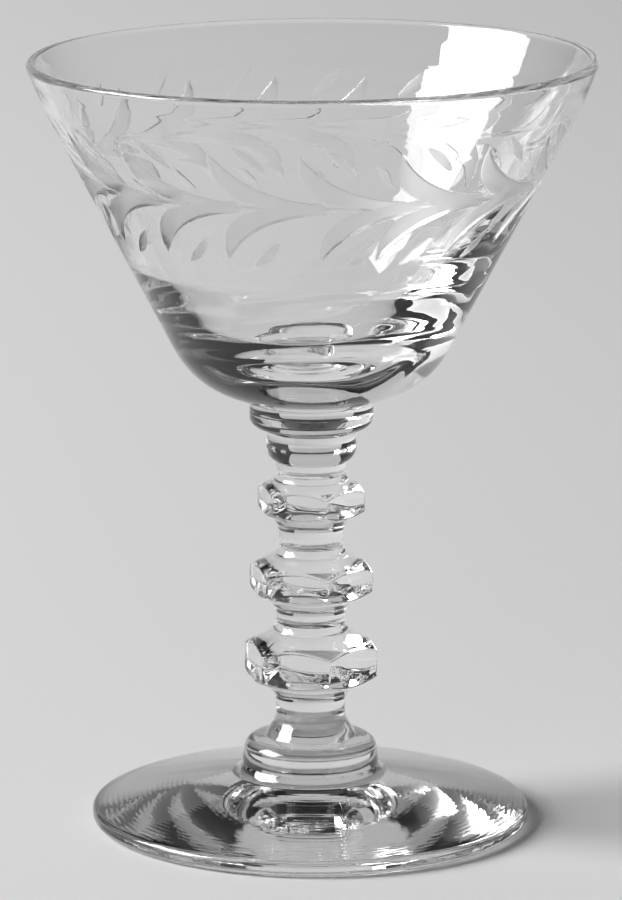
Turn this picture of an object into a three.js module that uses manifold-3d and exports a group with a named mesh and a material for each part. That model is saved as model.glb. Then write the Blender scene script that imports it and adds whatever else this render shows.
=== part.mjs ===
// Cocktail glass: a conical bowl on a stepped collar, a stem with three six-sided knops,
// a cushion knop and a wide solid foot. Five pieces of clear glass, fused end to end.
// Millimetres, +Z up, the origin at the centre of the resting plane.

import * as THREE from 'three';
import { mergeVertices } from 'three/addons/utils/BufferGeometryUtils.js';
import Module from 'manifold-3d';

const wasm = await Module();
wasm.setup();

// Foot: lengths in mm and slopes in degrees from the level
const FOOT_RADIUS = 34.2;
const FOOT_HEIGHT = 9.1;
const FOOT_EDGE = 2.4;
const FOOT_EDGE_ROUND = 1.1;
const FOOT_BRIM_SLOPE = 10;
const FOOT_CREST_SLOPE = 25;
const FOOT_SWEEP_ROUND = 60;
const FOOT_HOLLOW = 0.4;
const FOOT_HOLLOW_RADIUS = 24;
const FOOT_HOLLOW_ROUND = 60;
const REST_RING_WIDTH = 2.2;

// Cushion knop between the foot and the stem
const CUSHION_RADIUS = 10.7;
const CUSHION_HEIGHT = 4.4;
const CUSHION_SHOULDER_RADIUS = 9.15;
const CUSHION_SHOULDER_DROP = 0.6;
const CUSHION_SHOULDER_ROUND = 2.4;

// Stem: the necks are the straight lengths between the knops, counted from below
const NECK_RADIUS = 5.4;
const UPPER_NECK_RADIUS = 5.05;
const STEM_FLARE_RADIUS = 7.1;
const STEM_FLARE_HEIGHT = 2.8;
const STEM_FLARE_ROUND = 3;
const LOWER_NECK = 4.36;
const MIDDLE_NECK = 3.8;
const UPPER_NECK = 4.81;
const TOP_NECK = 1.1;
const LOWER_KNOP_RADIUS = 10.76;
const MIDDLE_KNOP_RADIUS = 9.97;
const UPPER_KNOP_RADIUS = 8.65;
const LOWER_KNOP_EDGE = 4.2;
const MIDDLE_KNOP_EDGE = 3.15;
const UPPER_KNOP_EDGE = 3;
const KNOP_UNDER_SLOPE = 27;
const KNOP_SHOULDER_SLOPE = 31;
const KNOP_UNDER_ROUND = 3;
const KNOP_SHOULDER_ROUND = 2.4;
const TOP_SHOULDER_ROUND = 1.5;
const KNOP_SIDES = 6;
const KNOP_TURN = 16;
const KNOP_STOCK = 0.6;

// Collar of a lip, a ring and a wide disc, each step larger than the one below
const LIP_RADIUS = 5.5;
const LIP_HEIGHT = 1.55;
const RING_RADIUS = 7.15;
const RING_TOP_RADIUS = 6.8;
const RING_HEIGHT = 4.8;
const RING_UNDER_SLOPE = 35;
const RING_ROUND = 2.6;
const DISC_RADIUS = 9.6;
const DISC_HEIGHT = 4.7;
const DISC_UNDER_SLOPE = 24;
const DISC_ROUND = 1.7;

// Bowl: its cone stands a little steeper in the band below the rim
const BOWL_HEIGHT = 53.5;
const RIM_RADIUS = 44.1;
const RIM_WALL = 1.6;
const RIM_ROUND = 0.75;
const RIM_BAND = 6.8;
const RIM_BAND_SLOPE = 68.7;
const RIM_BAND_WALL = 1.65;
const RIM_BAND_ROUND = 60;
const BOWL_SLOPE = 62.2;
const BOWL_UNDER_SLOPE = 21.5;
const BOWL_CORNER_ROUND = 15;
const CAVITY_DEPTH = 45.3;
const CAVITY_NECKING_DEPTH = 19.85;
const CAVITY_NECKING_WALL = 2.25;
const CAVITY_NECKING_ROUND = 40;
const CAVITY_WAIST_DEPTH = 30.9;
const CAVITY_WAIST_WALL = 3.6;
const CAVITY_WAIST_ROUND = 15;
const CAVITY_FLOOR_RADIUS = 14.05;
const CAVITY_FLOOR_ROUND = 18.5;

// Facets of the turned pieces
const TURN_STEPS = 48;
const ARC_STEP = 18;

// Seams between the pieces, from the table up
const CUSHION_SEAM = FOOT_HEIGHT;
const STEM_SEAM = CUSHION_SEAM + CUSHION_HEIGHT;
const KNOPS = [
  { neck: LOWER_NECK, waist: NECK_RADIUS, radius: LOWER_KNOP_RADIUS, edge: LOWER_KNOP_EDGE },
  { neck: MIDDLE_NECK, waist: NECK_RADIUS, radius: MIDDLE_KNOP_RADIUS, edge: MIDDLE_KNOP_EDGE },
  { neck: UPPER_NECK, waist: UPPER_NECK_RADIUS, radius: UPPER_KNOP_RADIUS, edge: UPPER_KNOP_EDGE },
];

const rise = (slope) => Math.tan(THREE.MathUtils.degToRad(slope));

// Corner where a line through each point, of the given rise per radius, crosses the other
function crossing([radiusA, heightA], riseA, [radiusB, heightB], riseB) {
  const radius = (heightB - heightA + riseA * radiusA - riseB * radiusB) / (riseA - riseB);
  return [radius, heightA + riseA * (radius - radiusA)];
}

// Outline of a turned piece from a few corners [radius, height, rounding]: a sharp corner stays
// as it is, and a rounded one becomes an arc that touches both of its sides.
function outline(corners) {
  const points = [];
  corners.forEach(([radius, height, rounding = 0], i) => {
    const corner = new THREE.Vector2(radius, height);
    if (rounding === 0) {
      points.push(corner);
      return;
    }
    const back = new THREE.Vector2(corners[i - 1][0], corners[i - 1][1]).sub(corner).normalize();
    const ahead = new THREE.Vector2(corners[i + 1][0], corners[i + 1][1]).sub(corner).normalize();
    const half = Math.acos(back.dot(ahead)) / 2;
    const centre = back.clone().add(ahead).normalize();
    centre.multiplyScalar(rounding / Math.sin(half)).add(corner);
    const touch = rounding / Math.tan(half);
    const start = back.multiplyScalar(touch).add(corner).sub(centre);
    const end = ahead.multiplyScalar(touch).add(corner).sub(centre);
    const sweep = Math.atan2(start.cross(end), start.dot(end));
    const steps = Math.max(2, Math.ceil(Math.abs(THREE.MathUtils.radToDeg(sweep)) / ARC_STEP));
    for (let k = 0; k <= steps; k += 1) {
      const spoke = start.clone().rotateAround(new THREE.Vector2(), (sweep * k) / steps);
      points.push(spoke.add(centre));
    }
  });
  return points;
}

// Solid of revolution whose outline runs from the axis at its foot to the axis at its top
function turned(corners) {
  return new THREE.LatheGeometry(outline(corners), TURN_STEPS).rotateX(Math.PI / 2);
}

function toSolid(geometry) {
  geometry.deleteAttribute('normal');
  geometry.deleteAttribute('uv');
  const merged = mergeVertices(geometry, 1e-4);
  const vertProperties = new Float32Array(merged.attributes.position.array);
  const triVerts = new Uint32Array(merged.index.array);
  return new wasm.Manifold(new wasm.Mesh({ numProp: 3, vertProperties, triVerts }));
}

function toGeometry(solid) {
  const { vertProperties, triVerts } = solid.getMesh();
  const geometry = new THREE.BufferGeometry();
  geometry.setAttribute('position', new THREE.BufferAttribute(vertProperties, 3));
  geometry.setIndex(new THREE.BufferAttribute(triVerts, 1));
  geometry.computeVertexNormals();
  return geometry;
}

// Foot: level under the cushion, swept down to a thin round edge, hardly hollowed inside a flat ring
function footGeometry() {
  const ringInside = FOOT_RADIUS - FOOT_EDGE_ROUND - REST_RING_WIDTH;
  const edgeTop = [FOOT_RADIUS, FOOT_EDGE];
  const crest = [CUSHION_RADIUS, FOOT_HEIGHT];
  const sweep = crossing(edgeTop, -rise(FOOT_BRIM_SLOPE), crest, -rise(FOOT_CREST_SLOPE));
  return turned([
    [0, FOOT_HOLLOW],
    [FOOT_HOLLOW_RADIUS, FOOT_HOLLOW, FOOT_HOLLOW_ROUND],
    [ringInside, 0],
    [FOOT_RADIUS, 0, FOOT_EDGE_ROUND],
    [...edgeTop, FOOT_EDGE_ROUND],
    [...sweep, FOOT_SWEEP_ROUND],
    crest,
    [0, FOOT_HEIGHT],
  ]);
}

function cushionGeometry() {
  return turned([
    [0, 0],
    [CUSHION_RADIUS, 0],
    [CUSHION_SHOULDER_RADIUS, CUSHION_HEIGHT - CUSHION_SHOULDER_DROP, CUSHION_SHOULDER_ROUND],
    [STEM_FLARE_RADIUS, CUSHION_HEIGHT],
    [0, CUSHION_HEIGHT],
  ]);
}

// Stem: one turned blank with a round knop for each faceted one, cut to six flats by a prism
// that reaches from neck to neck. The blank stands proud of the prism's corners by the stock.
function stemGeometry() {
  const corners = [
    [0, 0],
    [STEM_FLARE_RADIUS, 0],
    [NECK_RADIUS, STEM_FLARE_HEIGHT, STEM_FLARE_ROUND],
  ];
  const prisms = [];
  let height = STEM_FLARE_HEIGHT;
  let prismFoot = 0;
  KNOPS.forEach(({ neck, waist, radius, edge }, i) => {
    const above = KNOPS[i + 1];
    const waistAbove = above ? above.waist : NECK_RADIUS;
    const underFoot = height + neck;
    const edgeFoot = underFoot + (radius - waist) * rise(KNOP_UNDER_SLOPE);
    const edgeTop = edgeFoot + edge;
    const shoulderTop = edgeTop + (radius - waistAbove) * rise(KNOP_SHOULDER_SLOPE);
    corners.push(
      [waist, underFoot, KNOP_UNDER_ROUND],
      [radius + KNOP_STOCK, edgeFoot + KNOP_STOCK * rise(KNOP_UNDER_SLOPE)],
      [radius + KNOP_STOCK, edgeTop - KNOP_STOCK * rise(KNOP_SHOULDER_SLOPE)],
      [waistAbove, shoulderTop, above ? KNOP_SHOULDER_ROUND : TOP_SHOULDER_ROUND],
    );
    const prismTop = shoulderTop + (above ? above.neck / 2 : TOP_NECK);
    const prism = new THREE.CylinderGeometry(radius, radius, prismTop - prismFoot, KNOP_SIDES);
    prism.rotateX(Math.PI / 2);
    prism.rotateZ(THREE.MathUtils.degToRad(KNOP_TURN));
    prism.translate(0, 0, (prismFoot + prismTop) / 2);
    prisms.push(toSolid(prism));
    height = shoulderTop;
    prismFoot = prismTop;
  });
  const stemHeight = height + TOP_NECK;
  corners.push([NECK_RADIUS, stemHeight], [0, stemHeight]);
  const flats = prisms.reduce((whole, prism) => whole.add(prism));
  return { geometry: toGeometry(toSolid(turned(corners)).intersect(flats)), stemHeight };
}

function collarGeometry() {
  const ringFoot = LIP_HEIGHT + (RING_RADIUS - LIP_RADIUS) * rise(RING_UNDER_SLOPE);
  const discSeat = LIP_HEIGHT + RING_HEIGHT;
  const discFoot = discSeat + (DISC_RADIUS - RING_TOP_RADIUS) * rise(DISC_UNDER_SLOPE);
  const collarHeight = discSeat + DISC_HEIGHT;
  const geometry = turned([
    [0, 0],
    [LIP_RADIUS, 0],
    [LIP_RADIUS, LIP_HEIGHT],
    [RING_RADIUS, ringFoot, RING_ROUND],
    [RING_TOP_RADIUS, discSeat],
    [DISC_RADIUS, discFoot, DISC_ROUND],
    [DISC_RADIUS, collarHeight],
    [0, collarHeight],
  ]);
  return { geometry, collarHeight };
}

// Bowl: outside up to the rim, over it and down the cavity, whose wall thickens towards a round floor
function bowlGeometry() {
  const seat = [DISC_RADIUS, 0];
  const bandFoot = BOWL_HEIGHT - RIM_BAND;
  const bandRadius = RIM_RADIUS - RIM_BAND / rise(RIM_BAND_SLOPE);
  const corner = crossing(seat, rise(BOWL_UNDER_SLOPE), [bandRadius, bandFoot], rise(BOWL_SLOPE));
  const inside = (depth, wall) => {
    const height = BOWL_HEIGHT - depth;
    return [bandRadius - (bandFoot - height) / rise(BOWL_SLOPE) - wall, height];
  };
  return turned([
    [0, 0],
    seat,
    [...corner, BOWL_CORNER_ROUND],
    [bandRadius, bandFoot, RIM_BAND_ROUND],
    [RIM_RADIUS, BOWL_HEIGHT, RIM_ROUND],
    [RIM_RADIUS - RIM_WALL, BOWL_HEIGHT, RIM_ROUND],
    [bandRadius - RIM_BAND_WALL, bandFoot, RIM_BAND_ROUND],
    [...inside(CAVITY_NECKING_DEPTH, CAVITY_NECKING_WALL), CAVITY_NECKING_ROUND],
    [...inside(CAVITY_WAIST_DEPTH, CAVITY_WAIST_WALL), CAVITY_WAIST_ROUND],
    [CAVITY_FLOOR_RADIUS, BOWL_HEIGHT - CAVITY_DEPTH, CAVITY_FLOOR_ROUND],
    [0, BOWL_HEIGHT - CAVITY_DEPTH],
  ]);
}

const glass = new THREE.Group();

function addPiece(name, geometry, seam) {
  const material = new THREE.MeshStandardMaterial({
    color: 0xeef1f0,
    roughness: 0.03,
    metalness: 0,
    transparent: true,
    opacity: 0.3,
  });
  const piece = new THREE.Mesh(geometry, material);
  piece.name = name;
  piece.position.z = seam;
  glass.add(piece);
}

const stem = stemGeometry();
const collar = collarGeometry();
const COLLAR_SEAM = STEM_SEAM + stem.stemHeight;
const BOWL_SEAM = COLLAR_SEAM + collar.collarHeight;

addPiece('foot', footGeometry(), 0);
addPiece('cushion', cushionGeometry(), CUSHION_SEAM);
addPiece('stem', stem.geometry, STEM_SEAM);
addPiece('collar', collar.geometry, COLLAR_SEAM);
addPiece('bowl', bowlGeometry(), BOWL_SEAM);

export default glass;
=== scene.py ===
import math

import bpy
import numpy as np
from mathutils import Matrix, Vector


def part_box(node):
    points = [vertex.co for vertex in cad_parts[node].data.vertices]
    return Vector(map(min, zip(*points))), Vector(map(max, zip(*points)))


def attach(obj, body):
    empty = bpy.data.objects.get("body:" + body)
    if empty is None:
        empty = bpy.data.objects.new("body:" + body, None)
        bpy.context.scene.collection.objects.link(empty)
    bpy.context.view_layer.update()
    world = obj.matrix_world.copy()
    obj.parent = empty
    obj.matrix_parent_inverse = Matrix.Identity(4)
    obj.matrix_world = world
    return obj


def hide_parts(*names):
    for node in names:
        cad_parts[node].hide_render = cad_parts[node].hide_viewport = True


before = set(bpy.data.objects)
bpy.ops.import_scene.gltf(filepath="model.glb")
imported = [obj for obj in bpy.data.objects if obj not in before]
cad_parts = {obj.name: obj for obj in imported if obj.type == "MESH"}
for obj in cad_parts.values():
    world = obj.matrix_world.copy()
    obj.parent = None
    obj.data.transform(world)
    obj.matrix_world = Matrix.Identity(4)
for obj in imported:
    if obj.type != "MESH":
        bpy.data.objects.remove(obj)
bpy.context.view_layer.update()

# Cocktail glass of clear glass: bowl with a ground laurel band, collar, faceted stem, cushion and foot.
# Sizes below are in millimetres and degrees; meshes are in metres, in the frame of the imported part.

MM = 0.001


def top_of(node):
    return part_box(node)[1].z / MM


def foot_of(node):
    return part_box(node)[0].z / MM


def radius_of(node):
    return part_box(node)[1].x / MM


# Seams between the fused pieces, and the rim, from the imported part
CUSHION_SEAM = foot_of("cushion")
STEM_SEAM = foot_of("stem")
COLLAR_SEAM = foot_of("collar")
BOWL_SEAM = foot_of("bowl")
RIM_HEIGHT = top_of("bowl")

# Foot
FOOT_RADIUS = radius_of("foot")
FOOT_EDGE = 2.4
FOOT_EDGE_ROUND = 1.1
FOOT_BRIM_SLOPE = 13
FOOT_CREST_SLOPE = 60
FOOT_SWEEP_ROUND = 2
FOOT_HOLLOW = 0.1
FOOT_HOLLOW_RADIUS = 24
FOOT_HOLLOW_ROUND = 60
REST_RING_WIDTH = 2.2

# Cushion knop
CUSHION_RADIUS = radius_of("cushion")
CUSHION_SHOULDER_RADIUS = 10.15
CUSHION_SHOULDER_DROP = 0.45
CUSHION_SHOULDER_ROUND = 2.2

# Stem
NECK_RADIUS = 5.4
WAISTS = (5.4, 5.4, 5.05)
STEM_FLARE_RADIUS = 7.1
STEM_FLARE_HEIGHT = 2.8
STEM_FLARE_ROUND = 3
NECKS = (4.36, 3.8, 4.81)
KNOP_RADII = (10.76, 9.97, 8.65)
KNOP_EDGES = (4.2, 3.15, 3)
KNOP_UNDER_SLOPE = 27
KNOP_SHOULDER_SLOPE = 31
KNOP_UNDER_ROUND = 3
KNOP_SHOULDER_ROUNDS = (2.4, 2.4, 1.5)
KNOP_STOCK = 0.6
KNOP_SIDES = 6
KNOP_TURN = 16
KNOP_CORNER_SHARPNESS = 70
KNOP_EDGE_SOFTNESS = 0.45
MOULD_SEAM_ANGLES = (-48.7, 131.3)
MOULD_SEAM_WIDTH = 0.16
MOULD_SEAM_HEIGHT = 0.05

# Collar
LIP_RADIUS = 5.5
LIP_HEIGHT = 1.55
RING_RADIUS = 7.15
RING_TOP_RADIUS = 6.8
RING_HEIGHT = 4.8
RING_UNDER_SLOPE = 35
RING_ROUND = 2.6
DISC_RADIUS = radius_of("collar")
DISC_UNDER_SLOPE = 24
DISC_ROUND = 1.7

# Bowl
RIM_RADIUS = 44.1
RIM_WALL = 1.6
RIM_ROUND = 0.75
RIM_BAND = 6.8
RIM_BAND_SLOPE = 68.7
RIM_BAND_WALL = 1.65
RIM_BAND_ROUND = 60
BOWL_SLOPE = 62.2
BOWL_UNDER_SLOPE = 21.5
BOWL_CORNER_ROUND = 15
CAVITY_DEPTH = 45.3
CAVITY_NECKING_DEPTH = 19.85
CAVITY_NECKING_WALL = 2.25
CAVITY_NECKING_ROUND = 200
CAVITY_WAIST_DEPTH = 30.9
CAVITY_WAIST_WALL = 3.6
CAVITY_WAIST_ROUND = 15
CAVITY_FLOOR_RADIUS = 14.05
CAVITY_FLOOR_ROUND = 18.5
CAVITY_LEAN = 1.6
CAVITY_LEAN_TOP = 104
RIM_TILT = 0.5

# Laurel band: the branch runs round the bowl, with a row of leaves and seeds on either side.
# Angles run from the front towards +X. A leaf's curves start at its tip, with x along the branch
# and y towards it, and each is a quadratic curve given by its control point and its end.
BRANCH_HEIGHT = 102.9
BRANCH_WIDTH = 0.5
BRANCH_DEPTH = 0.14
LEAVES_PER_ROW = 17
FRONT_LOWER_TIPS = (-64, -43, -23, 2.5, 17.8, 39)
FRONT_UPPER_TIPS = (-66, -45, -22.3, -2.5, 19.3, 40.7)
LEAF_HEIGHT = 8.8
LEAF_OUTER_CURVE = ((-1.2, 7.2), (7.0, 8.5))
LEAF_INNER_CURVE = ((5.0, 7.6), (16.5, 7.9))
LEAF_DEPTH = 0.4
LEAF_FADE = 0.35
LEAF_REACH = 32
CRISP_WIDTH = 0.3
FULL_WIDTH = 1.2
SCOOP_EASE = 0.6
SEED_START = (8.7, 3.6)
SEED_INNER_CURVE = ((-3.2, -1.6), (-5.2, -4.6))
SEED_OUTER_CURVE = ((-1.1, -3.7), (-5.2, -4.6))
SEED_DEPTH = 0.2
CUT_ROUGHNESS = 0.47
SATIN_DEPTH = 0.04
BAND_FOOT = 89.5
BAND_TOP = 115.6
BAND_JOIN = 0.4

# Glass, with hazy spots of wear and soft waves from the fire
GLASS_IOR = 1.52
GLASS_TINT = (0.985, 0.99, 0.985, 1)
WEAR_SCALE = 900
WEAR_DETAIL = 6
WEAR_START = 0.5
WEAR_END = 0.8
WEAR_ROUGHNESS = 0.03
CORD_SCALE = 160
CORD_DETAIL = 2
CORD_DEPTH = 0.012

# Turning marks: faint rings left by the tools, as depths across the surface
FOOT_MARK_DEPTH = 0.004
FOOT_MARK_SPACING = 0.9
FOOT_MARK_SEED = 11
STEM_MARK_DEPTH = 0.004
STEM_MARK_SPACING = 1.1
STEM_MARK_SEED = 23
BOWL_MARK_DEPTH = 0.012
BOWL_MARK_SPACING = 3.2
BOWL_MARK_SEED = 37
BOWL_MARK_TOP = 93
BOWL_MARK_FADE = 6
MARK_WAVES = 7
MARK_SPREAD = 0.45
MARK_WANDER = 0.5
MARK_LOBES = 3
MARK_SHIFT = 6

# Mesh fineness
ARC_STEP = 3
CURVE_POINTS = 97
CREASE_ANGLE = 35
ROW_SPACING = 0.5
FOOT_ROW_SPACING = 0.14
STEM_ROW_SPACING = 0.16
BAND_ROW_SPACING = 0.15
TURN_COLUMNS = 360
FOOT_COLUMNS = 288
STEM_COLUMNS = 720
BAND_COLUMNS = 1440

FRONT = math.radians(-90)


def rise(slope):
    return math.tan(math.radians(slope))


def unit(vector):
    return vector / np.linalg.norm(vector)


# Outlines

def crossing(point_a, rise_a, point_b, rise_b):
    """Corner where a line through each point, of the given rise per radius, crosses the other."""
    gap = point_b[1] - point_a[1]
    radius = (gap + rise_a * point_a[0] - rise_b * point_b[0]) / (rise_a - rise_b)
    return radius, point_a[1] + rise_a * (radius - point_a[0])


def rounded_corner(before, corner, after, rounding):
    """Points of the arc that touches both sides of a corner."""
    back = unit(before - corner)
    ahead = unit(after - corner)
    half = math.acos(float(back @ ahead)) / 2
    centre = corner + unit(back + ahead) * rounding / math.sin(half)
    start = corner + back * rounding / math.tan(half) - centre
    end = corner + ahead * rounding / math.tan(half) - centre
    sweep = math.atan2(start[0] * end[1] - start[1] * end[0], float(start @ end))
    turns = np.linspace(0, sweep, max(3, math.ceil(abs(math.degrees(sweep)) / ARC_STEP)))
    across = np.array([-start[1], start[0]])
    return [centre + start * math.cos(turn) + across * math.sin(turn) for turn in turns]


def outline(*corners):
    """Outline of a turned piece from corners (radius, height) or (radius, height, rounding)."""
    places = [np.array(corner[:2], float) for corner in corners]
    points = []
    for i, corner in enumerate(corners):
        if len(corner) == 3:
            points += rounded_corner(places[i - 1], places[i], places[i + 1], corner[2])
        else:
            points.append(places[i])
    return np.array(points)


def refined(points, spacing):
    """The same outline with its long stretches divided."""
    fine = [points[:1]]
    for start, end in zip(points[:-1], points[1:]):
        steps = max(1, math.ceil(np.linalg.norm(end - start) / spacing))
        shares = np.arange(1, steps + 1)[:, None] / steps
        fine.append(start + (end - start) * shares)
    return np.vstack(fine)


def turning_marks(along, columns, spacing, depth, seed):
    """Height of faint rings at one place along an outline, for each column round the turn."""
    draw = np.random.default_rng(seed)
    turn = np.arange(columns) * (2 * math.pi / columns)
    height = np.zeros(columns)
    for _ in range(MARK_WAVES):
        length = spacing * math.exp(draw.normal(0, MARK_SPREAD))
        start = draw.uniform(0, 2 * math.pi)
        lobes = draw.integers(1, MARK_LOBES + 1)
        phase = start + MARK_WANDER * np.sin(lobes * turn + draw.uniform(0, MARK_SHIFT))
        height += length / spacing * np.sin(2 * math.pi * along / length + phase)
    return height * depth / math.sqrt(MARK_WAVES)


# Meshes

def ring(radius, height, columns):
    """One turn of points in metres. Radius and height may vary from column to column."""
    turn = np.arange(columns) * (2 * math.pi / columns)
    x = radius * np.cos(turn)
    y = radius * np.sin(turn)
    return np.column_stack([x, y, np.broadcast_to(height, columns)]) * MM


def rings_of(points, columns):
    """Rings for an outline, with single points where it starts or ends on the axis."""
    return [ring(r, z, columns if r > 0 else 1) for r, z in points]


def stitched(rings):
    """Faces that join each ring to the next, and where each join starts and ends in their list."""
    starts = np.cumsum([0] + [len(r) for r in rings])
    faces = []
    spans = []
    for i in range(len(rings) - 1):
        low, high = len(rings[i]), len(rings[i + 1])
        a, p = starts[i], starts[i + 1]
        first = len(faces)
        k = np.arange(max(low, high) if min(low, high) == 1 else min(low, high))
        if low == high:
            n = (k + 1) % low
            faces += np.column_stack([a + k, a + n, p + n, p + k]).tolist()
        elif low == 1:
            n = (k + 1) % high
            faces += np.column_stack([np.full(high, a), p + n, p + k]).tolist()
        elif high == 1:
            n = (k + 1) % low
            faces += np.column_stack([a + k, a + n, np.full(low, p)]).tolist()
        elif high == 2 * low:
            n = (k + 1) % low
            mid, end = 2 * k + 1, (2 * k + 2) % high
            faces += np.column_stack([a + k, a + n, p + mid]).tolist()
            faces += np.column_stack([a + k, p + mid, p + 2 * k]).tolist()
            faces += np.column_stack([a + n, p + end, p + mid]).tolist()
        else:
            n = (k + 1) % high
            mid, end = 2 * k + 1, (2 * k + 2) % low
            faces += np.column_stack([a + 2 * k, a + mid, p + k]).tolist()
            faces += np.column_stack([a + mid, p + n, p + k]).tolist()
            faces += np.column_stack([a + mid, a + end, p + n]).tolist()
        spans.append((first, len(faces)))
    return faces, spans


def glass_piece(name, rings, material, seam_below, seam_above):
    """Closed mesh that stands for the node of that name. Its fused faces let light straight through."""
    faces, spans = stitched(rings)
    mesh = bpy.data.meshes.new(name + "_glass")
    mesh.from_pydata(np.vstack(rings).tolist(), [], faces)
    slots = np.zeros(len(faces), np.int32)
    if seam_below:
        slots[slice(*spans[0])] = 1
    if seam_above:
        slots[slice(*spans[-1])] = 1
    mesh.materials.append(material)
    mesh.materials.append(fused_seam())
    mesh.polygons.foreach_set("material_index", slots)
    mesh.polygons.foreach_set("use_smooth", np.ones(len(faces), bool))
    mesh.set_sharp_from_angle(angle=math.radians(CREASE_ANGLE))
    mesh.validate()
    piece = bpy.data.objects.new(name + "_glass", mesh)
    bpy.context.scene.collection.objects.link(piece)
    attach(piece, "root")
    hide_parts(name)
    return piece


# Materials

def fused_seam():
    """Face where two gathers of glass were fused: no surface is left there."""
    material = bpy.data.materials.get("fused_seam")
    if material is None:
        material = bpy.data.materials.new("fused_seam")
        material.use_nodes = True
        nodes = material.node_tree.nodes
        nodes.clear()
        clear = nodes.new("ShaderNodeBsdfTransparent")
        output = nodes.new("ShaderNodeOutputMaterial")
        material.node_tree.links.new(clear.outputs[0], output.inputs["Surface"])
    return material


def worn_roughness(nodes, links, place):
    """Roughness of hazy wear, and of ground satin where the glass is cut."""
    wear = nodes.new("ShaderNodeTexNoise")
    wear.inputs["Scale"].default_value = WEAR_SCALE
    wear.inputs["Detail"].default_value = WEAR_DETAIL
    links.new(place, wear.inputs["Vector"])
    haze = nodes.new("ShaderNodeMapRange")
    haze.inputs["From Min"].default_value = WEAR_START
    haze.inputs["From Max"].default_value = WEAR_END
    haze.inputs["To Max"].default_value = WEAR_ROUGHNESS
    links.new(wear.outputs["Fac"], haze.inputs["Value"])
    cut = nodes.new("ShaderNodeAttribute")
    cut.attribute_name = "cut"
    rough = nodes.new("ShaderNodeMapRange")
    rough.inputs["To Max"].default_value = CUT_ROUGHNESS
    links.new(cut.outputs["Fac"], rough.inputs["Value"])
    links.new(haze.outputs["Result"], rough.inputs["To Min"])
    return rough.outputs["Result"]


def soft_waves(nodes, links, place):
    """Normals of the faint waves in fire-polished glass."""
    cords = nodes.new("ShaderNodeTexNoise")
    cords.inputs["Scale"].default_value = CORD_SCALE
    cords.inputs["Detail"].default_value = CORD_DETAIL
    links.new(place, cords.inputs["Vector"])
    waves = nodes.new("ShaderNodeBump")
    waves.inputs["Distance"].default_value = CORD_DEPTH * MM
    links.new(cords.outputs["Fac"], waves.inputs["Height"])
    return waves.outputs["Normal"]


def clear_glass(name):
    material = bpy.data.materials.new(name)
    material.use_nodes = True
    nodes = material.node_tree.nodes
    links = material.node_tree.links
    glass = nodes["Principled BSDF"]
    glass.inputs["Transmission Weight"].default_value = 1
    glass.inputs["IOR"].default_value = GLASS_IOR
    glass.inputs["Base Color"].default_value = GLASS_TINT
    place = nodes.new("ShaderNodeTexCoord").outputs["Object"]
    links.new(worn_roughness(nodes, links, place), glass.inputs["Roughness"])
    links.new(soft_waves(nodes, links, place), glass.inputs["Normal"])
    return material


# Pieces

def make_foot():
    ring_inside = FOOT_RADIUS - FOOT_EDGE_ROUND - REST_RING_WIDTH
    edge_top = (FOOT_RADIUS, FOOT_EDGE)
    crest = (CUSHION_RADIUS, CUSHION_SEAM)
    sweep = crossing(edge_top, -rise(FOOT_BRIM_SLOPE), crest, -rise(FOOT_CREST_SLOPE))
    profile = outline(
        (0, FOOT_HOLLOW),
        (FOOT_HOLLOW_RADIUS, FOOT_HOLLOW, FOOT_HOLLOW_ROUND),
        (ring_inside, 0),
        (FOOT_RADIUS, 0, FOOT_EDGE_ROUND),
        (*edge_top, FOOT_EDGE_ROUND),
        (*sweep, FOOT_SWEEP_ROUND),
        crest,
    )
    top = profile[:, 1].argmax()
    brim = (profile[:, 1] > FOOT_EDGE) & (np.arange(len(profile)) <= top)
    under = refined(profile[: np.argmax(brim)], ROW_SPACING)
    above = refined(profile[np.argmax(brim) - 1 :], FOOT_ROW_SPACING)[1:]
    rings = rings_of(under, FOOT_COLUMNS)
    for radius, height in above:
        marks = turning_marks(radius, FOOT_COLUMNS, FOOT_MARK_SPACING, FOOT_MARK_DEPTH, FOOT_MARK_SEED)
        rings.append(ring(radius, height + marks * (height < CUSHION_SEAM), FOOT_COLUMNS))
    rings.append(ring(0, CUSHION_SEAM, 1))
    glass_piece("foot", rings, clear_glass("foot_glass"), False, True)


def make_cushion():
    shoulder = (CUSHION_SHOULDER_RADIUS, STEM_SEAM - CUSHION_SHOULDER_DROP, CUSHION_SHOULDER_ROUND)
    profile = outline((CUSHION_RADIUS, CUSHION_SEAM), shoulder, (STEM_FLARE_RADIUS, STEM_SEAM))
    points = np.vstack([[(0, CUSHION_SEAM)], refined(profile, ROW_SPACING), [(0, STEM_SEAM)]])
    glass_piece("cushion", rings_of(points, TURN_COLUMNS), clear_glass("cushion_glass"), True, True)


def waist_above(knop):
    return (*WAISTS, NECK_RADIUS)[knop + 1]


def knop_levels():
    """Heights of each knop: start of its underside, foot and top of its edge, top of its shoulder."""
    levels = []
    height = STEM_SEAM + STEM_FLARE_HEIGHT
    for i, radius in enumerate(KNOP_RADII):
        under_foot = height + NECKS[i]
        edge_foot = under_foot + (radius - WAISTS[i]) * rise(KNOP_UNDER_SLOPE)
        edge_top = edge_foot + KNOP_EDGES[i]
        height = edge_top + (radius - waist_above(i)) * rise(KNOP_SHOULDER_SLOPE)
        levels.append((under_foot, edge_foot, edge_top, height))
    return levels


def knop_at(height):
    """Which knop a height lies in, or none on the necks."""
    for i, (under_foot, _, _, shoulder_top) in enumerate(knop_levels()):
        if under_foot < height < shoulder_top:
            return i
    return None


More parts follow.
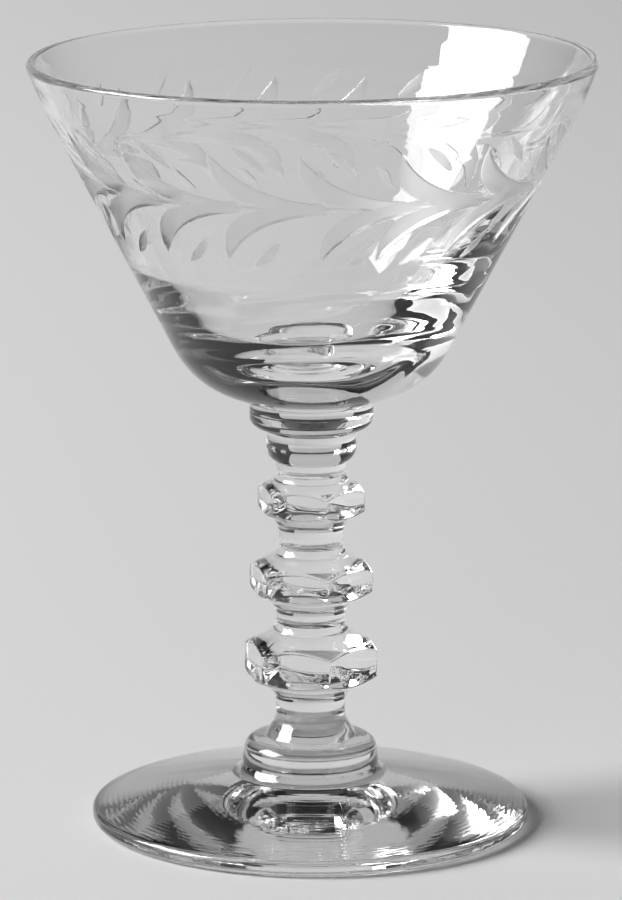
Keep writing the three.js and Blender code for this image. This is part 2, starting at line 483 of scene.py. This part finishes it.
def stem_outline():
    corners = [
        (STEM_FLARE_RADIUS, STEM_SEAM),
        (NECK_RADIUS, STEM_SEAM + STEM_FLARE_HEIGHT, STEM_FLARE_ROUND),
    ]
    for i, (under_foot, edge_foot, edge_top, shoulder_top) in enumerate(knop_levels()):
        blank = KNOP_RADII[i] + KNOP_STOCK
        corners += [
            (WAISTS[i], under_foot, KNOP_UNDER_ROUND),
            (blank, edge_foot + KNOP_STOCK * rise(KNOP_UNDER_SLOPE)),
            (blank, edge_top - KNOP_STOCK * rise(KNOP_SHOULDER_SLOPE)),
            (waist_above(i), shoulder_top, KNOP_SHOULDER_ROUNDS[i]),
        ]
    corners.append((NECK_RADIUS, COLLAR_SEAM))
    return outline(*corners)


def soft_min(a, b, softness):
    share = np.clip(0.5 + 0.5 * (b - a) / softness, 0, 1)
    return b * (1 - share) + a * share - softness * share * (1 - share)


def hexagon(turn, corner_radius):
    """Radius of a hexagon with slightly rounded corners."""
    flats = FRONT + math.radians(KNOP_TURN) + (np.arange(KNOP_SIDES) + 0.5) * (2 * math.pi / KNOP_SIDES)
    facing = np.clip(np.cos(turn[:, None] - flats), 0, None) ** KNOP_CORNER_SHARPNESS
    apothem = corner_radius * math.cos(math.pi / KNOP_SIDES)
    return apothem / facing.sum(1) ** (1 / KNOP_CORNER_SHARPNESS)


def make_stem():
    points = refined(stem_outline(), STEM_ROW_SPACING)
    turn = np.arange(STEM_COLUMNS) * (2 * math.pi / STEM_COLUMNS)
    seam = np.zeros(STEM_COLUMNS)
    for angle in MOULD_SEAM_ANGLES:
        off = np.angle(np.exp(1j * (turn - FRONT - math.radians(angle)))) * NECK_RADIUS
        seam += MOULD_SEAM_HEIGHT * np.exp(-((off / MOULD_SEAM_WIDTH) ** 2))
    rings = [ring(0, STEM_SEAM, 1)]
    for radius, height in points:
        knop = knop_at(height)
        if knop is not None:
            blank = np.full(STEM_COLUMNS, radius)
            radius = soft_min(blank, hexagon(turn, KNOP_RADII[knop]), KNOP_EDGE_SOFTNESS)
        marks = turning_marks(height, STEM_COLUMNS, STEM_MARK_SPACING, STEM_MARK_DEPTH, STEM_MARK_SEED)
        rings.append(ring(radius + seam + marks, height, STEM_COLUMNS))
    rings.append(ring(0, COLLAR_SEAM, 1))
    glass_piece("stem", rings, clear_glass("stem_glass"), True, True)


def make_collar():
    disc_seat = COLLAR_SEAM + LIP_HEIGHT + RING_HEIGHT
    ring_foot = COLLAR_SEAM + LIP_HEIGHT + (RING_RADIUS - LIP_RADIUS) * rise(RING_UNDER_SLOPE)
    disc_foot = disc_seat + (DISC_RADIUS - RING_TOP_RADIUS) * rise(DISC_UNDER_SLOPE)
    profile = outline(
        (LIP_RADIUS, COLLAR_SEAM),
        (LIP_RADIUS, COLLAR_SEAM + LIP_HEIGHT),
        (RING_RADIUS, ring_foot, RING_ROUND),
        (RING_TOP_RADIUS, disc_seat),
        (DISC_RADIUS, disc_foot, DISC_ROUND),
        (DISC_RADIUS, BOWL_SEAM),
    )
    points = np.vstack([[(0, COLLAR_SEAM)], refined(profile, ROW_SPACING), [(0, BOWL_SEAM)]])
    glass_piece("collar", rings_of(points, TURN_COLUMNS), clear_glass("collar_glass"), True, True)


def wall_inside(band_radius, band_foot, depth, wall):
    """Point of the cavity at a depth below the rim, a level wall thickness in from the cone."""
    height = RIM_HEIGHT - depth
    return band_radius - (band_foot - height) / rise(BOWL_SLOPE) - wall, height


def bowl_outlines():
    """Outside from the seam to the middle of the rim, and inside from there to the cavity's floor."""
    seat = (DISC_RADIUS, BOWL_SEAM)
    band_foot = RIM_HEIGHT - RIM_BAND
    band_radius = RIM_RADIUS - RIM_BAND / rise(RIM_BAND_SLOPE)
    corner = crossing(seat, rise(BOWL_UNDER_SLOPE), (band_radius, band_foot), rise(BOWL_SLOPE))
    necking = wall_inside(band_radius, band_foot, CAVITY_NECKING_DEPTH, CAVITY_NECKING_WALL)
    waist = wall_inside(band_radius, band_foot, CAVITY_WAIST_DEPTH, CAVITY_WAIST_WALL)
    floor = RIM_HEIGHT - CAVITY_DEPTH
    rim_middle = (RIM_RADIUS - RIM_WALL / 2, RIM_HEIGHT)
    outside = outline(
        seat,
        (*corner, BOWL_CORNER_ROUND),
        (band_radius, band_foot, RIM_BAND_ROUND),
        (RIM_RADIUS, RIM_HEIGHT, RIM_ROUND),
        rim_middle,
    )
    inside = outline(
        rim_middle,
        (RIM_RADIUS - RIM_WALL, RIM_HEIGHT, RIM_ROUND),
        (band_radius - RIM_BAND_WALL, band_foot, RIM_BAND_ROUND),
        (*necking, CAVITY_NECKING_ROUND),
        (*waist, CAVITY_WAIST_ROUND),
        (CAVITY_FLOOR_RADIUS, floor, CAVITY_FLOOR_ROUND),
        (0, floor),
    )
    return outside, inside


# Laurel cuts

def curve(start, control, end):
    """Points of a quadratic curve."""
    t = np.linspace(0, 1, CURVE_POINTS)[:, None]
    return (1 - t) ** 2 * np.array(start) + 2 * t * (1 - t) * np.array(control) + t ** 2 * np.array(end)


def beside(points, x, y):
    """Distance from a curve, positive on its left, and the share of the way along it."""
    gaps = (x[..., None] - points[:, 0]) ** 2 + (y[..., None] - points[:, 1]) ** 2
    near = gaps.argmin(-1)
    tangent = np.gradient(points, axis=0)
    side = tangent[near, 0] * (y - points[near, 1]) - tangent[near, 1] * (x - points[near, 0])
    return np.sqrt(gaps.min(-1)) * np.sign(side), near / (len(points) - 1)


def scoop(inner, outer, x, y, depth, fade):
    """Depth of one cut between two curves: it falls steeply at the inner one and eases to the outer."""
    from_inner, along = beside(inner, x, y)
    from_outer, _ = beside(outer, x, y)
    from_outer = -from_outer
    width = np.maximum(from_inner + from_outer, 1e-6)
    share = np.clip(from_inner / width, 0, 1)
    steep = np.clip(from_inner / CRISP_WIDTH, 0, 1)
    steep = steep * steep * (3 - 2 * steep)
    shape = steep * (1 - share) ** SCOOP_EASE
    full = np.clip(width / FULL_WIDTH, 0, 1)
    end = np.clip((1 - along) / fade, 0, 1) if fade else 1.0
    inside = (from_inner > 0) & (from_outer > 0)
    return np.where(inside, depth * shape * full * end, 0)


def tips(front):
    """Tip angles of one row: the front ones as given, the rest evenly over what is left."""
    rest = LEAVES_PER_ROW - len(front)
    gap = (front[0] + 360 - front[-1]) / (rest + 1)
    return list(front) + [front[-1] + gap * (i + 1) for i in range(rest)]


def laurel_depth(turn, height, radius):
    """Depth of the cuts over the band's grid, one row for each height and one column for each turn."""
    depth = BRANCH_DEPTH * np.exp(-((height[:, None] - BRANCH_HEIGHT) / (BRANCH_WIDTH / 2)) ** 2)
    depth = np.repeat(depth, len(turn), 1)
    outer = curve((0, 0), *LEAF_OUTER_CURVE)
    inner = curve((0, 0), *LEAF_INNER_CURVE)
    seed_outer = curve((0, 0), *SEED_OUTER_CURVE)
    seed_inner = curve((0, 0), *SEED_INNER_CURVE)
    for side, front in ((-1, FRONT_LOWER_TIPS), (1, FRONT_UPPER_TIPS)):
        for tip in tips(front):
            angle = np.angle(np.exp(1j * (turn - FRONT - math.radians(tip))))
            near = np.abs(angle) < math.radians(LEAF_REACH)
            x = angle[near] * radius[:, None]
            y = LEAF_HEIGHT + side * (BRANCH_HEIGHT - height[:, None]) + 0 * x
            leaf = scoop(inner, outer, x, y, LEAF_DEPTH, LEAF_FADE)
            seed = scoop(seed_inner, seed_outer, x - SEED_START[0], y - SEED_START[1], SEED_DEPTH, 0)
            depth[:, near] = np.maximum(depth[:, near], np.maximum(leaf, seed))
    return depth


# Bowl with its cuts

def tilted(turn):
    """The rim, finished by hand, is not quite level: it rises towards +X within its band."""
    share = np.clip((turn[:, 2] / MM - (RIM_HEIGHT - RIM_BAND)) / RIM_BAND, 0, 1)
    lift = turn[:, 0] * rise(RIM_TILT) * share
    return turn + np.column_stack([0 * lift, 0 * lift, lift])


def leaned(turn):
    """The cavity is blown a little off the axis towards its floor."""
    floor = RIM_HEIGHT - CAVITY_DEPTH
    share = np.clip((CAVITY_LEAN_TOP - turn[:, 2] / MM) / (CAVITY_LEAN_TOP - floor), 0, 1)
    lean = CAVITY_LEAN * MM * share * share * (3 - 2 * share)
    return turn - np.column_stack([lean, 0 * lean, 0 * lean])


def cut_band(wall):
    """Rings of the laurel band, cut square to the wall, and the depth of the cuts at each point."""
    count = math.ceil((BAND_TOP - BAND_FOOT) / math.sin(math.radians(BOWL_SLOPE)) / BAND_ROW_SPACING)
    height = np.linspace(BAND_FOOT, BAND_TOP, count)
    radius = np.interp(height, wall[:, 1], wall[:, 0])
    turn = np.arange(BAND_COLUMNS) * (2 * math.pi / BAND_COLUMNS)
    depth = laurel_depth(turn, height, radius)
    slope = np.gradient(radius, height)
    lean = np.sqrt(1 + slope ** 2)
    cut_radius = radius[:, None] - depth / lean[:, None]
    cut_height = height[:, None] + depth * (slope / lean)[:, None]
    return [ring(r, z, BAND_COLUMNS) for r, z in zip(cut_radius, cut_height)], depth


def wall_point(wall, height):
    return np.array([np.interp(height, wall[:, 1], wall[:, 0]), height])


def cavity_rings(inside):
    """Rings of the cavity from the rim down, with the tool's marks in its lower part."""
    rings = []
    for radius, height in refined(inside[1:], ROW_SPACING):
        columns = TURN_COLUMNS if radius > 0 else 1
        marks = turning_marks(height, columns, BOWL_MARK_SPACING, BOWL_MARK_DEPTH, BOWL_MARK_SEED)
        marks *= (radius > 0) * np.clip((BOWL_MARK_TOP - height) / BOWL_MARK_FADE, 0, 1)
        rings.append(leaned(ring(radius + marks, height, columns)))
    return rings


def make_bowl():
    outside, inside = bowl_outlines()
    wall = outside[: outside[:, 1].argmax()]
    band, depth = cut_band(wall)
    below = outside[outside[:, 1] < BAND_FOOT - 2 * BAND_JOIN]
    above = outside[outside[:, 1] > BAND_TOP + 2 * BAND_JOIN]
    low = refined(np.vstack([below, [wall_point(wall, BAND_FOOT - BAND_JOIN)]]), ROW_SPACING)
    high = refined(np.vstack([[wall_point(wall, BAND_TOP + BAND_JOIN)], above]), ROW_SPACING)
    rings = [ring(0, BOWL_SEAM, 1)]
    rings += rings_of(low[:-1], TURN_COLUMNS)
    rings += rings_of(low[-1:], 2 * TURN_COLUMNS)
    rings += band
    rings += rings_of(high[:1], 2 * TURN_COLUMNS)
    rings += rings_of(high[1:], TURN_COLUMNS)
    rings += cavity_rings(inside)
    rings = [tilted(turn) for turn in rings]
    bowl = glass_piece("bowl", rings, clear_glass("bowl_glass"), True, False)
    before = sum(len(r) for r in rings[: 1 + len(low)])
    cut = np.zeros(sum(len(r) for r in rings), np.float32)
    cut[before : before + depth.size] = np.clip(depth.ravel() / SATIN_DEPTH, 0, 1)
    bowl.data.attributes.new("cut", "FLOAT", "POINT").data.foreach_set("value", cut)


make_foot()
make_cushion()
make_stem()
make_collar()
make_bowl()

# Stage and light in metres. The floor's gap and the camera's place are in millimetres.
FLOOR_SIZE = 2.4
FLOOR_GAP = 0.05
FLOOR_COLOUR = (0.66, 0.66, 0.66, 1)
FLOOR_ROUGHNESS = 0.9
ROOM_COLOUR = (0.01, 0.01, 0.01, 1)
SOFTBOX_PLACE = (-2.09, -0.088, 1.424)
SOFTBOX_AIM = (0, 0, 0.06)
SOFTBOX_WIDTH = 1.716
SOFTBOX_HEIGHT = 1.32
SOFTBOX_WATTS = 116
CARD_PLACE = (-0.139, 1.594)
CARD_WIDTH = 1.63
LOW_CARD_MIDDLE = 0.05
LOW_CARD_HEIGHT = 0.22
LOW_CARD_LEVEL = 0.6
BACK_CARD_MIDDLE = 0.555
BACK_CARD_HEIGHT = 0.79
BACK_CARD_LEVEL = 0.48
LIGHT_BOUNCES = 24
GLOSSY_BOUNCES = 16
CAMERA_PLACE = (-0.04, -840.4, 244.08)
CAMERA_PITCH = 12.425
CAMERA_ROLL = 0.15
FOCAL_PIXELS = 5548.9
IMAGE_HEIGHT = 900
SENSOR = 36


def make_floor():
    half = FLOOR_SIZE / 2
    level = -FLOOR_GAP * MM
    mesh = bpy.data.meshes.new("floor")
    corners = [(-half, -half, level), (half, -half, level), (half, half, level), (-half, half, level)]
    mesh.from_pydata(corners, [], [(0, 1, 2, 3)])
    floor = bpy.data.objects.new("floor", mesh)
    bpy.context.scene.collection.objects.link(floor)
    material = bpy.data.materials.new("pale_floor")
    material.use_nodes = True
    paint = material.node_tree.nodes["Principled BSDF"]
    paint.inputs["Base Color"].default_value = FLOOR_COLOUR
    paint.inputs["Roughness"].default_value = FLOOR_ROUGHNESS
    mesh.materials.append(material)


def make_softbox():
    light = bpy.data.lights.new("left_softbox", "AREA")
    light.shape = "RECTANGLE"
    light.size = SOFTBOX_WIDTH
    light.size_y = SOFTBOX_HEIGHT
    light.energy = SOFTBOX_WATTS
    lamp = bpy.data.objects.new("left_softbox", light)
    lamp.location = SOFTBOX_PLACE
    aim = Vector(SOFTBOX_AIM) - Vector(SOFTBOX_PLACE)
    lamp.rotation_euler = aim.to_track_quat("-Z", "Y").to_euler()
    bpy.context.scene.collection.objects.link(lamp)


def make_world():
    world = bpy.data.worlds.new("room")
    world.use_nodes = True
    world.node_tree.nodes["Background"].inputs["Color"].default_value = ROOM_COLOUR
    bpy.context.scene.world = world


def card(name, middle, height, level):
    """Upright pale card that faces the glass, seen through it as the backdrop."""
    bpy.ops.mesh.primitive_plane_add(size=1)
    sheet = bpy.context.object
    sheet.name = name
    sheet.scale = (CARD_WIDTH, height, 1)
    sheet.location = (*CARD_PLACE, middle)
    facing = Vector((-CARD_PLACE[0], -CARD_PLACE[1], 0))
    sheet.rotation_euler = facing.to_track_quat("Z", "Y").to_euler()
    material = bpy.data.materials.new(name)
    material.use_nodes = True
    nodes = material.node_tree.nodes
    nodes.clear()
    glow = nodes.new("ShaderNodeEmission")
    glow.inputs["Color"].default_value = (level, level, level, 1)
    output = nodes.new("ShaderNodeOutputMaterial")
    material.node_tree.links.new(glow.outputs[0], output.inputs["Surface"])
    sheet.data.materials.append(material)


def make_camera():
    data = bpy.data.cameras.new("camera")
    data.sensor_width = SENSOR
    data.lens = FOCAL_PIXELS / IMAGE_HEIGHT * SENSOR
    camera = bpy.data.objects.new("camera", data)
    tilt = Matrix.Rotation(math.radians(90 - CAMERA_PITCH), 4, "X")
    roll = Matrix.Rotation(math.radians(CAMERA_ROLL), 4, "Z")
    camera.matrix_world = Matrix.Translation(Vector(CAMERA_PLACE) * MM) @ tilt @ roll
    bpy.context.scene.collection.objects.link(camera)
    bpy.context.scene.camera = camera


make_floor()
make_world()
make_softbox()
card("low_card", LOW_CARD_MIDDLE, LOW_CARD_HEIGHT, LOW_CARD_LEVEL)
card("back_card", BACK_CARD_MIDDLE, BACK_CARD_HEIGHT, BACK_CARD_LEVEL)
make_camera()
scene = bpy.context.scene
scene.cycles.max_bounces = LIGHT_BOUNCES
scene.cycles.glossy_bounces = GLOSSY_BOUNCES
scene.cycles.transmission_bounces = LIGHT_BOUNCES
scene.cycles.transparent_max_bounces = LIGHT_BOUNCES
scene.view_settings.view_transform = "Standard"
